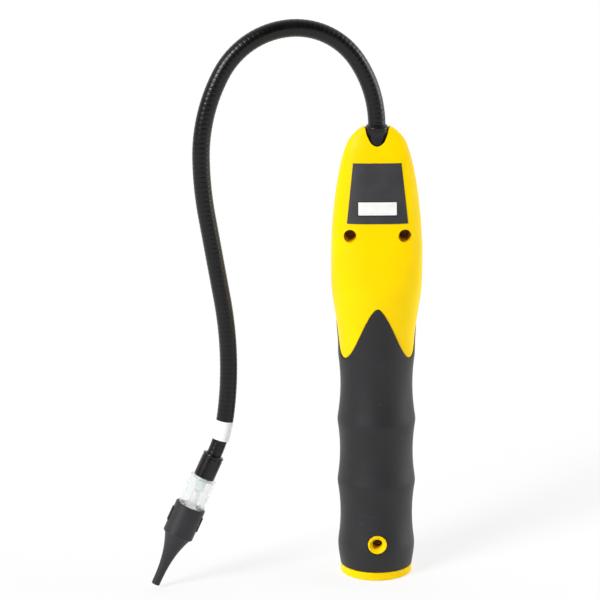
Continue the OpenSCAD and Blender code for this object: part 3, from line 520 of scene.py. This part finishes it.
polish(cut(sleeve, [hole, hole_rim]), sleeve_field)
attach(sleeve, "detector")
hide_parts("grip_sleeve")

# Base cap.
# The yellow ABS foot of the handle, which closes the battery compartment. It plugs into the handle and is
# held by the screw in the boss.


def rounded(corners, steps=4):
    """An outline with its corners rounded off; a corner is (radius, height) or (radius, height, rounding)."""
    made = []
    for i, corner in enumerate(corners):
        p = np.array(corner[:2], float)
        if len(corner) < 3:
            made.append(tuple(p))
            continue
        before, after = (np.array(corners[(i + d) % len(corners)][:2], float) for d in (-1, 1))
        u, v = before - p, after - p
        lu, lv = np.linalg.norm(u), np.linalg.norm(v)
        half = math.acos(np.clip(u @ v / lu / lv, -1, 1)) / 2
        reach = min(corner[2] / math.tan(half), 0.49 * lu, 0.49 * lv)
        a, b = p + u / lu * reach, p + v / lv * reach
        for s in np.linspace(0, 1, steps + 1):
            made.append(tuple((1 - s) ** 2 * a + 2 * s * (1 - s) * p + s * s * b))
    return made


cap_h, plug_r, plug_top = 4.6, 16.15, 12.6
outline = [(0, 0), (foot_r, 0, 1.0), (foot_r, cap_h, 0.3), (plug_r, cap_h), (plug_r, plug_top), (0, plug_top)]
cap = turned("base_cap_foot", rounded(outline), yellow_abs, sides=160)
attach(shade(cap), "detector")
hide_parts("base_cap")

# Screws.
# Self-cutting screws of zinc-plated steel with pan heads, driven down to the seats in the wells and in the
# boss, where only their heads show.


def dress(name, material):
    """Gives a CAD node its material."""
    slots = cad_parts[name].data.materials
    slots.clear()
    slots.append(material)


# Dull zinc: a brown-grey metal with darker blots.
metal = {"Metallic": 1.0}
screw_steel = finish_of("screw_dull_zinc", "6E5440", 0.5, ("54402F", 0.8, 0.1), metal)
for name in ("case_screws", "cap_screw"):
    dress(name, screw_steel)

# Rear plate.
# A dark grey polyester film stuck to the flat rear face, with a darker printed frame round a blank white
# field.


def film(name, low_x, low_z, high_x, high_z, under, thick, material, columns=48, rows=40):
    """A thin sheet over the rear face, with a rim that goes down to the face."""
    points, faces = [], []
    for over in (under + thick, under):
        for i in range(rows + 1):
            t = i / rows
            z = low_z + (high_z - low_z) * t
            w = low_x + (high_x - low_x) * t
            for k in range(columns + 1):
                x = -w + 2 * w * k / columns
                points.append((x, float(rear_y(np.array(x), np.array(z))) - over, z))
    line, size = columns + 1, (columns + 1) * (rows + 1)
    for i in range(rows):
        for k in range(columns):
            a = i * line + k
            faces.append((a, a + 1, a + line + 1, a + line))
            faces.append((size + a, size + a + line, size + a + line + 1, size + a + 1))
    border = [k for k in range(columns)] + [i * line + columns for i in range(rows)]
    border += [rows * line + k for k in range(columns, 0, -1)] + [i * line for i in range(rows, 0, -1)]
    for a, b in zip(border, border[1:] + border[:1]):
        faces.append((a, size + a, size + b, b))
    return piece(name, points, faces, material)


# Dark grey polyester film: an even, slightly cloudy matt.
plate_film = finish_of("plate_film_dark", "38383B", 0.5, ("3D3D40", 9, 0.05), {"Specular IOR Level": 0.3},
                       grain=(0.3, 0.003))
plate = film("rear_plate_film", low_x=16.45, low_z=199.7, high_x=13.0, high_z=231.5, under=0.02, thick=0.28,
             material=plate_film)
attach(shade(plate), "detector")
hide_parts("rear_plate")

# Black print: a flat dark line, a little uneven in its ink.
frame_ink = finish_of("plate_frame_ink", "19191A", 0.5, ("1F1F21", 3, 0.05))
border = film("plate_field_frame", low_x=11.0, low_z=203.6, high_x=11.0, high_z=211.6, under=0.3, thick=0.03,
              material=frame_ink, columns=32, rows=12)
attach(shade(border), "detector")

# White print: clean and matt, with a trace of grey.
field_film = finish_of("plate_field_white", "F4F4F2", 0.45, ("EEEEEB", 5, 0.04))
field = film("plate_field_film", low_x=10.3, low_z=204.3, high_x=10.3, high_z=211.1, under=0.33, thick=0.1,
             material=field_film, columns=32, rows=12)
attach(shade(field), "detector")
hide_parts("plate_field")

# Neck collar.
# A moulded bush of black nylon, flared to a shoulder at its mouth. The two housing halves clamp it in the
# socket, and it holds the gooseneck's root.

# Glossy black nylon: deep black with a clear soft gleam that breaks up a little.
black_gloss = finish_of("black_nylon_gloss", "0A0A0C", 0.3, ("101012", 6, 0.05), {"Specular IOR Level": 0.4},
                        grain=(0.7, 0.003))
outline = [(4.75, 226), (5.8, 226), (5.8, 245.2, 0.6), (6.45, 247.4, 0.6), (6.45, 249.9, 0.4),
           (5.3, 251.3, 0.3), (4.75, 251.6)]
collar = turned("neck_collar_bush", rounded(outline), black_gloss, sides=72)
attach(shade(collar), "detector")
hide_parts("neck_collar")

# Gooseneck.
# A steel spiral in a glossy black ribbed jacket that bends and stays. The jacket is one piece; here it is
# six, and each runs from the middle of one CAD section to the middle of the next, over their joint.
neck_root_z, neck_r, neck_sides = 238.6, 4.7, 40
# The course of its centreline: straight lengths, with no turn, and arcs of a radius, with a turn in degrees.
neck_legs = [(12, 0), (62.8, 35), (41.2, 55.5), (45.4, 60.7), (91, 29), (190, 9.4), (45.9, 0), (215, -10.7),
             (200, -7.1), (74, -17.1)]
neck_swing = math.radians(13)
flex_count, first_flex, ribs_per_flex = 6, 38.0, 20


def leg_length(size, turn):
    """Length of one leg of the course."""
    return size if turn == 0 else size * math.radians(abs(turn))


def neck_path(d):
    """Place on the gooseneck's centreline and its heading there, at a distance from its root."""
    s, z, heading = 0.0, neck_root_z, 0.0
    for i, (size, turn) in enumerate(neck_legs):
        part = d if i == len(neck_legs) - 1 else min(d, leg_length(size, turn))
        if turn == 0:
            s += part * math.sin(heading)
            z += part * math.cos(heading)
        else:
            way = math.copysign(1, turn)
            after = heading + way * part / size
            s += way * size * (math.cos(heading) - math.cos(after))
            z += way * size * (math.sin(after) - math.sin(heading))
            heading = after
        d -= part
        if d <= 1e-9:
            break
    place = Vector((-s * math.cos(neck_swing), -s * math.sin(neck_swing), z))
    out = math.sin(heading)
    ahead = Vector((-out * math.cos(neck_swing), -out * math.sin(neck_swing), math.cos(heading)))
    return place, ahead


neck_length = sum(leg_length(size, turn) for size, turn in neck_legs)
flex_pitch = (neck_length - first_flex) / flex_count
rib_pitch = flex_pitch / ribs_per_flex

# A ring swept along a line, with a narrow groove between one rib and the next.
sweep = bpy.data.node_groups.new("ribbed_sweep", "GeometryNodeTree")
sweep.interface.new_socket("Geometry", in_out="INPUT", socket_type="NodeSocketGeometry")
for name, kind in (("Radius", "Float"), ("Rib Depth", "Float"), ("Rib Pitch", "Float"), ("Start", "Float"),
                   ("Step", "Float"), ("Sides", "Int"), ("Material", "Material")):
    sweep.interface.new_socket(name, in_out="INPUT", socket_type=f"NodeSocket{kind}")
sweep.interface.new_socket("Geometry", in_out="OUTPUT", socket_type="NodeSocketGeometry")
given = add(sweep, "NodeGroupInput").outputs
even = add(sweep, "GeometryNodeResampleCurve", {"Curve": given["Geometry"], "Length": given["Step"]},
           mode="LENGTH")
along = add(sweep, "GeometryNodeSplineParameter")
keep = sweep.nodes.new("GeometryNodeCaptureAttribute")
keep.capture_items.new("FLOAT", "Distance")
sweep.links.new(even.outputs["Curve"], keep.inputs["Geometry"])
sweep.links.new(along.outputs["Length"], keep.inputs["Distance"])
ring = add(sweep, "GeometryNodeCurvePrimitiveCircle",
           {"Resolution": given["Sides"], "Radius": given["Radius"]})
tube = add(sweep, "GeometryNodeCurveToMesh",
           {"Curve": keep.outputs["Geometry"], "Profile Curve": ring.outputs["Curve"]})
total = add(sweep, "ShaderNodeMath", {0: keep.outputs["Distance"], 1: given["Start"]}, operation="ADD")
phase = add(sweep, "ShaderNodeMath", {0: total.outputs[0], 1: given["Rib Pitch"]}, operation="DIVIDE")
angle = add(sweep, "ShaderNodeMath", {0: phase.outputs[0], 1: 2 * math.pi}, operation="MULTIPLY")
swinging = add(sweep, "ShaderNodeMath", {0: angle.outputs[0]}, operation="COSINE")
raised = add(sweep, "ShaderNodeMath", {0: swinging.outputs[0], 1: 0.5, 2: 0.5}, operation="MULTIPLY_ADD")
groove = add(sweep, "ShaderNodeMath", {0: raised.outputs[0], 1: 5.0}, operation="POWER")
sunk = add(sweep, "ShaderNodeMath", {0: groove.outputs[0], 1: given["Rib Depth"]}, operation="MULTIPLY")
below = add(sweep, "ShaderNodeMath", {0: sunk.outputs[0], 1: -1.0}, operation="MULTIPLY")
facing = add(sweep, "GeometryNodeInputNormal")
offset = add(sweep, "ShaderNodeVectorMath", {0: facing.outputs["Normal"], "Scale": below.outputs[0]},
             operation="SCALE")
ribbed = add(sweep, "GeometryNodeSetPosition",
             {"Geometry": tube.outputs["Mesh"], "Offset": offset.outputs["Vector"]})
soft = add(sweep, "GeometryNodeSetShadeSmooth",
           {"Geometry": ribbed.outputs["Geometry"], "Shade Smooth": True})
real = add(sweep, "GeometryNodeRealizeInstances", {"Geometry": soft.outputs["Geometry"]})
painted = add(sweep, "GeometryNodeSetMaterial",
              {"Geometry": real.outputs["Geometry"], "Material": given["Material"]})
add(sweep, "NodeGroupOutput", {"Geometry": painted.outputs["Geometry"]})


def swept(name, places, values, material):
    """A tube along places, made by the ribbed sweep with its named inputs."""
    line = bpy.data.curves.new(name + "_line", "CURVE")
    line.dimensions = "3D"
    spline = line.splines.new("POLY")
    spline.points.add(len(places) - 1)
    for point, place in zip(spline.points, places):
        point.co = (*(Vector(place) * MM), 1)
    path = bpy.data.objects.new(name + "_path", line)
    bpy.context.scene.collection.objects.link(path)
    way = path.modifiers.new("sweep", "NODES")
    way.node_group = sweep
    inputs = {s.name: s.identifier for s in sweep.interface.items_tree if s.in_out == "INPUT"}
    for key, value in {**values, "Material": material}.items():
        way[inputs[key]] = value
    mesh = evaluated_mesh(path)
    bpy.data.objects.remove(path)
    mesh.name = name
    made = bpy.data.objects.new(name, mesh)
    bpy.context.scene.collection.objects.link(made)
    return made


# Glossy black vinyl: nearly black, with a long highlight that the ribs cut into dashes.
jacket_black = finish_of("neck_jacket_gloss", "040405", 0.34, ("08080A", 7, 0.03),
                         {"Specular IOR Level": 0.38})
rib_depth, steps_per_rib, point_gap = 0.07, 14, 0.4
root_gap, band_lap, bend_reach = 0.5, 1.0, 19
band_length, tail_length = 10.8, 8.2
band_start = neck_length - tail_length - band_length
for i in range(flex_count):
    flex = first_flex + i * flex_pitch
    begin = root_gap if i == 0 else flex - flex_pitch / 2
    end = band_start + band_lap if i == flex_count - 1 else flex + flex_pitch / 2
    steps = math.ceil((end - begin) / point_gap)
    places = [neck_path(begin + (end - begin) * k / steps)[0] for k in range(steps + 1)]
    jacket = swept(f"neck_jacket_{i + 1}", places,
                   {"Radius": neck_r * MM, "Rib Depth": rib_depth * MM, "Rib Pitch": rib_pitch * MM,
                    "Start": (begin - first_flex - flex_pitch / 2) * MM,
                    "Step": rib_pitch * MM / steps_per_rib, "Sides": neck_sides}, jacket_black)
    neck_path(flex - bend_reach)[0] * MM
    neck_path(flex + bend_reach)[0] * MM
    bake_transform(jacket)
    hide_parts(*(["gooseneck_6", "gooseneck_7"] if i == 5 else [f"gooseneck_{i + 1}"]))

# The bare end of the gooseneck, between the white band and the ferrule.
tail_r, tail_rib_depth, tail_steps_per_rib = 4.1, 0.05, 10
tail_lap, tail_gap, tail_points = 0.6, 0.55, 17
inside_ferrule = np.linspace(0.2, 4.4, 9)
probe_place, probe_ahead = neck_path(neck_length)
places = [neck_path(neck_length - tail_length - tail_lap + tail_gap * k)[0] for k in range(tail_points)]
places += [probe_place + probe_ahead * d for d in inside_ferrule]
tail = swept("neck_tail", places,
             {"Radius": tail_r * MM, "Rib Depth": tail_rib_depth * MM, "Rib Pitch": rib_pitch * MM,
              "Start": 0.0, "Step": rib_pitch * MM / tail_steps_per_rib, "Sides": neck_sides}, jacket_black)
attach(tail, "probe")

# Neck band.
# A plain white plastic sleeve, cut from tube and shrunk over the end of the gooseneck's jacket.

# White shrink sleeve: clean, smooth and a little warm in places.
band_white = finish_of("band_white", "FDFDFC", 0.4, ("F8F8F5", 4, 0.05))
band_r, band_wall, band_points, band_sides = 4.8, 0.45, 40, 56
places = [neck_path(band_start + band_length * k / band_points)[0] for k in range(band_points + 1)]
band = swept("neck_band_sleeve", places,
             {"Radius": band_r * MM, "Rib Depth": 0.0, "Rib Pitch": 1.0, "Start": 0.0, "Step": point_gap * MM,
              "Sides": band_sides}, band_white)
thick = band.modifiers.new("thick", "SOLIDIFY")
thick.thickness = band_wall * MM
thick.offset = -1.0
plain(band)
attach(shade(band), "probe")
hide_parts("neck_band")

# Probe ferrule.
# A bush of the same black nylon as the collar, with a groove round its upper end. It is pressed on the end of
# the gooseneck and carries the sensor.
outline = [(0, 4.65), (4.2, 4.65), (4.2, 1), (5.8, 1, 0.5), (5.8, 2.3, 0.15), (5.5, 2.45, 0.1),
           (5.5, 3.0, 0.1), (5.8, 3.15, 0.15), (5.8, 14.5, 0.3), (3.05, 14.5), (3.05, 11.35), (0, 11.35)]
ferrule = turned("probe_ferrule_bush", rounded(outline), black_gloss, probe_place, probe_ahead, 72)
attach(shade(ferrule), "probe")
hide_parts("probe_ferrule")

# Sensor holder.
# A clear moulded polycarbonate tube with a floor, screwed to the ferrule by the stem. The sensor sits in it
# and the nozzle pushes on over it.

# Clear polycarbonate: see-through with a faint milky veil that comes and goes.
clear = finish_of("holder_clear", "FFFFFF", 0.08, ("F9FCFC", 4, 0.03),
                  {"Transmission Weight": 0.86, "IOR": 1.1})
outline = [(3.05, 14.65), (7.3, 14.65, 1.0), (7.3, 37.9, 0.2), (6.3, 37.9), (6.3, 16.15, 0.6), (3.05, 16.15)]
holder = turned("sensor_holder_tube", rounded(outline), clear, probe_place, probe_ahead, 96)
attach(shade(holder), "probe")
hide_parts("sensor_holder")

# Sensor stem, bulb, base and pins.
# A pale threaded stub of nylon carries a domed glass bead on a skirt. A white base closes the tube and holds
# three tinned pins.

# Natural nylon: pale, slightly green and slightly see-through.
stem_pale = finish_of("stem_pale", "EEF5F2", 0.3, ("E4EEEA", 2, 0.05),
                      {"Transmission Weight": 0.2, "IOR": 1.2})
stem_r, thread_r, thread_turns = 2.9, 2.55, 5
outline = [(0, 11.5), (stem_r, 11.5), (stem_r, 16.6)]
for k in range(thread_turns):
    outline += [(stem_r, 17.0 + k), (thread_r, 17.35 + k), (thread_r, 17.6 + k), (stem_r, 17.95 + k)]
outline += [(2.6, 22.3), (0, 22.3)]
stem = turned("sensor_stem_thread", outline, stem_pale, probe_place, probe_ahead, 48)
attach(shade(stem), "probe")
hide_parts("sensor_stem")

# Pressed glass: bright and milky.
bead_glass = finish_of("bead_glass", "FBF8F8", 0.12, ("F3F1F3", 2, 0.04),
                       {"Transmission Weight": 0.4, "IOR": 1.25})
bead_r, bead_tip, skirt_r, skirt_end = 2.3, 22.5, 3.6, 33.25
outline = [(bead_r * math.sin(a), bead_tip + bead_r * (1 - math.cos(a)))
           for a in np.linspace(0, math.pi / 2, 9)]
outline += [(bead_r, skirt_end - 4), (2.6, skirt_end - 2.6), (3.3, skirt_end - 1.1),
            (skirt_r, skirt_end - 0.9), (skirt_r, skirt_end), (0, skirt_end)]
bulb = turned("sensor_bulb_bead", outline, bead_glass, probe_place, probe_ahead, 48)
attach(shade(bulb), "probe")
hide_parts("sensor_bulb")

# White plastic, plain and smooth, and tinned pins with dull patches.
base_white = finish_of("sensor_base_white", "F2F1F4", 0.4, ("EAE9EC", 3, 0.04))
pin_bright = finish_of("pin_bright", "D8D6D0", 0.2, ("BDBBB4", 0.8, 0.08), metal)
dress("sensor_base", base_white)
dress("sensor_pins", pin_bright)

# Nozzle.
# Moulded from dull black plastic: a cup that pushes over the clear tube, with three finger ribs on either
# side, and a hollow tapering snout with its air hole at the tip.

# Dull black polythene: dark grey in the light, softly cloudy, with a fine grain.
nozzle_black = finish_of("nozzle_black_dull", "29282B", 0.5, ("2F2E31", 5, 0.05),
                         {"Specular IOR Level": 0.35}, grain=(0.4, 0.006))
mouth_d, cup_end, cup_in_end, snout = 31.9, 50.5, 48.5, 29.4
cup_r, cup_in_r, tip_r, hole_r, edge = 8.5, 7.6, 2.3, 1.4, 0.15
flare, flare_bend = 5.0, 2.6
tip_d = cup_end + snout
outline = rounded([(cup_in_r, mouth_d), (cup_r, mouth_d, 0.2), (cup_r, cup_end - 1.0, 0.5),
                   (7.5, cup_end, 0.3)])
outline += [(tip_r + flare * (1 - t) ** flare_bend, cup_end + snout * t) for t in np.linspace(0.01, 0.98, 30)]
outline += [(2.28, tip_d - edge), (2.1, tip_d), (1.5, tip_d), (hole_r, tip_d - edge), (hole_r, cup_in_end),
            (cup_in_r, cup_in_end)]
nozzle = turned("nozzle_cup", outline, nozzle_black, probe_place, probe_ahead, 96)
shade(nozzle, 40)

rib_sizes, rib_turn, rib_d, rib_out, rib_edge = (1.0, 8, 1.0), 11, 8.0, 0.1, 0.25
side = Vector((0, 1, 0)).cross(probe_ahead).normalized()
side = (side - probe_ahead * side.dot(probe_ahead)).normalized()
across = probe_ahead.cross(side)
ribs = []
for face in (-1, 1):
    for k in (-1, 0, 1):
        a = math.radians(rib_turn * k)
        out = (side * math.cos(a) + across * math.sin(a)) * face
        middle = probe_place + probe_ahead * (mouth_d + rib_d) + out * (cup_r + rib_out)
        axes = (out, probe_ahead, out.cross(probe_ahead))
        rib = block(f"nozzle_rib_{len(ribs) + 1}", middle, axes, rib_sizes, nozzle_black)
        soften = rib.modifiers.new("soften", "BEVEL")
        soften.width = rib_edge * MM
        soften.segments = 3
        ribs.append(shade(plain(rib)))
for part in [nozzle, *ribs]:
    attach(part, "nozzle")
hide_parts("nozzle")

# Keys.
# Three moulded keys of dark silicone rubber that stand out of the front face, each held in by a flange behind
# its hole.

# Silicone rubber: dark grey and dull, smoother where fingers press.
key_rubber = finish_of("key_silicone", "202022", 0.55, ("29292B", 4, 0.07), {"Specular IOR Level": 0.4},
                       grain=(0.3, 0.006))
for name in ("key_power", "key_up", "key_down"):
    dress(name, key_rubber)

# Lamps.
# Five lamps with tinted acrylic lenses in a row above the keys. They stand on the board behind the panel and
# look out through its holes.

# Tinted acrylic: a glossy red, deeper in places.
lamp_red = finish_of("lamp_red_clear", "C4231A", 0.15, ("A81C14", 1, 0.04), {"Transmission Weight": 0.3})
dress("indicator_lamps", lamp_red)

# Inner pieces.
# What the closed housing holds: the board with its switches and sounder, the cells with their contacts,
# and the leads. The board stands on stays of the front half, and ribs of the shell hold the cells.

# Green resist, tin, black plastic, shrink film, nickel, brass, natural plastic and two colours of lead, each
# a little uneven in colour and gloss.
inner = {
    "circuit_board": finish_of("board_green", "1F5A34", 0.4, ("1A4E2D", 6, 0.06)),
    "dome_switches": finish_of("switch_tin", "B9B9B6", 0.3, ("A4A4A0", 2, 0.08), metal),
    "sounder": finish_of("sounder_black", "161616", 0.5, ("1D1D1D", 4, 0.06)),
    "cell_lower": finish_of("cell_sleeve", "2F5C8A", 0.3, ("2A527C", 12, 0.05)),
    "battery_spring": finish_of("spring_nickel", "C8C4BA", 0.25, ("AFABA0", 2, 0.08), metal),
    "return_strip": finish_of("contact_brass", "C9A356", 0.3, ("B58F45", 3, 0.08), metal),
    "battery_bulkhead": finish_of("bulkhead_natural", "D8D2BE", 0.5, ("CFC8B2", 6, 0.05)),
    "battery_leads": finish_of("lead_red", "8A1B16", 0.45, ("7A1712", 3, 0.05)),
    "sensor_lead": finish_of("lead_black", "17171A", 0.45, ("1E1E22", 3, 0.05)),
}
inner["cell_upper"] = inner["cell_lower"]
inner["battery_contact"] = inner["return_strip"]
for name, material in inner.items():
    dress(name, material)

# Stage.
# A plain white floor that fills the picture, a bright sky that is dim on the camera's side, a soft key light
# from the upper left and a softer fill light from the right.

# Matt white: it fades into the backdrop and takes only a faint shadow.
floor_white = finish_of("floor_white", "F6F6F6", 0.9, ("F5F5F5", 200, 0.02), {"Specular IOR Level": 0.0})
white_share, white = 0.78, (1, 1, 1, 1)
tree = floor_white.node_tree
seen = add(tree, "ShaderNodeLightPath").outputs
either = add(tree, "ShaderNodeMath", {0: seen["Is Camera Ray"], 1: seen["Is Glossy Ray"]},
             operation="MAXIMUM")
either = add(tree, "ShaderNodeMath", {0: either.outputs[0], 1: seen["Is Transmission Ray"]},
             operation="MAXIMUM")
share = add(tree, "ShaderNodeMath", {0: either.outputs[0], 1: white_share}, operation="MULTIPLY")
glow = add(tree, "ShaderNodeEmission", {"Color": white, "Strength": 1.0})
mixed = add(tree, "ShaderNodeMixShader",
            {0: share.outputs[0], 1: tree.nodes["Principled BSDF"].outputs[0], 2: glow.outputs[0]})
tree.links.new(mixed.outputs[0], tree.nodes["Material Output"].inputs["Surface"])
wide, down = 9000, -0.2
corners = [(-wide, -wide, down), (wide, -wide, down), (wide, wide, down), (-wide, wide, down)]
floor = piece("floor", corners, [(0, 1, 2, 3)], floor_white, outward=False)

world = bpy.data.worlds.new("studio")
bpy.context.scene.world = world
world.use_nodes = True
tree = world.node_tree
tree.nodes.clear()
way = add(tree, "ShaderNodeTexCoord")
apart = add(tree, "ShaderNodeSeparateXYZ", {0: way.outputs["Generated"]})
front_dim = add(tree, "ShaderNodeMapRange",
                {"Value": apart.outputs["Y"], "From Min": -0.6, "From Max": 0.9, "To Min": 0.05,
                 "To Max": 1.1}, interpolation_type="SMOOTHSTEP")
light = add(tree, "ShaderNodeBackground", {"Color": white, "Strength": front_dim.outputs["Result"]})
backdrop = add(tree, "ShaderNodeBackground", {"Color": white, "Strength": 1.0})
seen = add(tree, "ShaderNodeLightPath").outputs
either = add(tree, "ShaderNodeMath", {0: seen["Is Camera Ray"], 1: seen["Is Transmission Ray"]},
             operation="MAXIMUM")
mixed = add(tree, "ShaderNodeMixShader", {0: either.outputs[0], 1: light.outputs[0], 2: backdrop.outputs[0]})
add(tree, "ShaderNodeOutputWorld", {"Surface": mixed.outputs[0]})

lamps = (("key", 2.9, 22, (0.64, 0.64, -0.58)), ("fill", 1.75, 36, (-0.95, -0.1, -0.2)))
for name, energy, spread, shines in lamps:
    lamp = bpy.data.lights.new(name, "SUN")
    lamp.energy = energy
    lamp.angle = math.radians(spread)
    place = bpy.data.objects.new(name, lamp)
    place.rotation_mode = "QUATERNION"
    place.rotation_quaternion = Vector(shines).to_track_quat("-Z", "Y")
    bpy.context.scene.collection.objects.link(place)

# Camera.
# At the photo's place: behind the detector, a little above it, with a long lens.
camera = bpy.data.cameras.new("camera")
camera.lens = 130.8
camera.sensor_width = 36
camera.clip_start = 0.05
camera.clip_end = 60
eye = bpy.data.objects.new("camera", camera)
eye_place = (-0.041, -1.163, 0.412)
yaw, pitch, roll = math.radians(0.04), math.radians(12.458), math.radians(-0.36)
eye.matrix_world = (Matrix.Translation(eye_place) @ Matrix.Rotation(yaw, 4, "Z")
                    @ Matrix.Rotation(math.pi / 2 - pitch, 4, "X") @ Matrix.Rotation(roll, 4, "Z"))
bpy.context.scene.collection.objects.link(eye)
bpy.context.scene.camera = eye

view = bpy.context.scene.view_settings
view.view_transform = "Standard"
